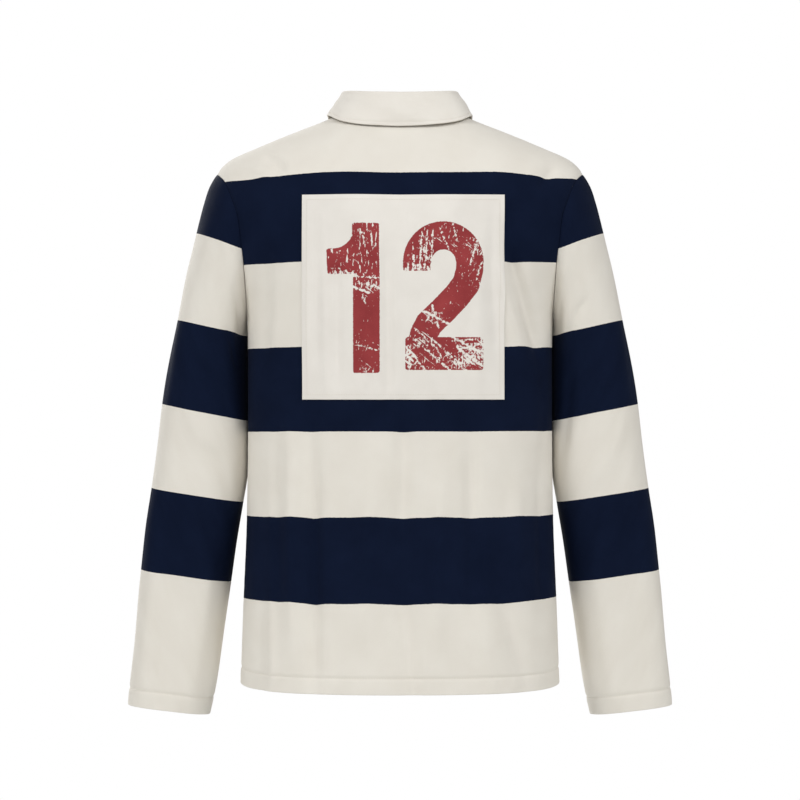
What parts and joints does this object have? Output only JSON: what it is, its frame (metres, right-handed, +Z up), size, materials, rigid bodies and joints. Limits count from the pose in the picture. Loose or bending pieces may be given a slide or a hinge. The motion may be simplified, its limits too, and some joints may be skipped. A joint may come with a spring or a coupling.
{
  "type": "rugby shirt",
  "caption": "Long-sleeved rugby shirt in hooped cotton jersey with a turned-down collar, a buttoned placket and a number patch on the back, filled out as if worn.",
  "frame": {"origin": "middle of the neck, level with the inner ends of the shoulder seams, where the wearer's shoulders carry the shirt", "axes": "+Z up; the shirt's front faces -Y and its back faces +Y; the wearer's left is +X"},
  "size_m": [0.684, 0.2519, 0.781],
  "materials": {
    "hooped_jersey": "heavy cotton jersey with wide knitted hoops of cream and navy, matt",
    "cream_twill": "cream cotton twill, matt",
    "patch_cotton": "cream cotton cloth with a worn brick-red print, matt",
    "button_rubber": "cream moulded rubber, matt"
  },
  "bodies": {
    "root": {"back_panel": "hooped_jersey", "front_panel": "hooped_jersey", "sleeve_left": "hooped_jersey", "sleeve_right": "hooped_jersey", "collar": "cream_twill", "number_patch": "patch_cotton", "placket_over": "cream_twill", "placket_under": "cream_twill", "button_1": "button_rubber", "button_2": "button_rubber", "button_3": "button_rubber"}
  },
  "joints": []
}
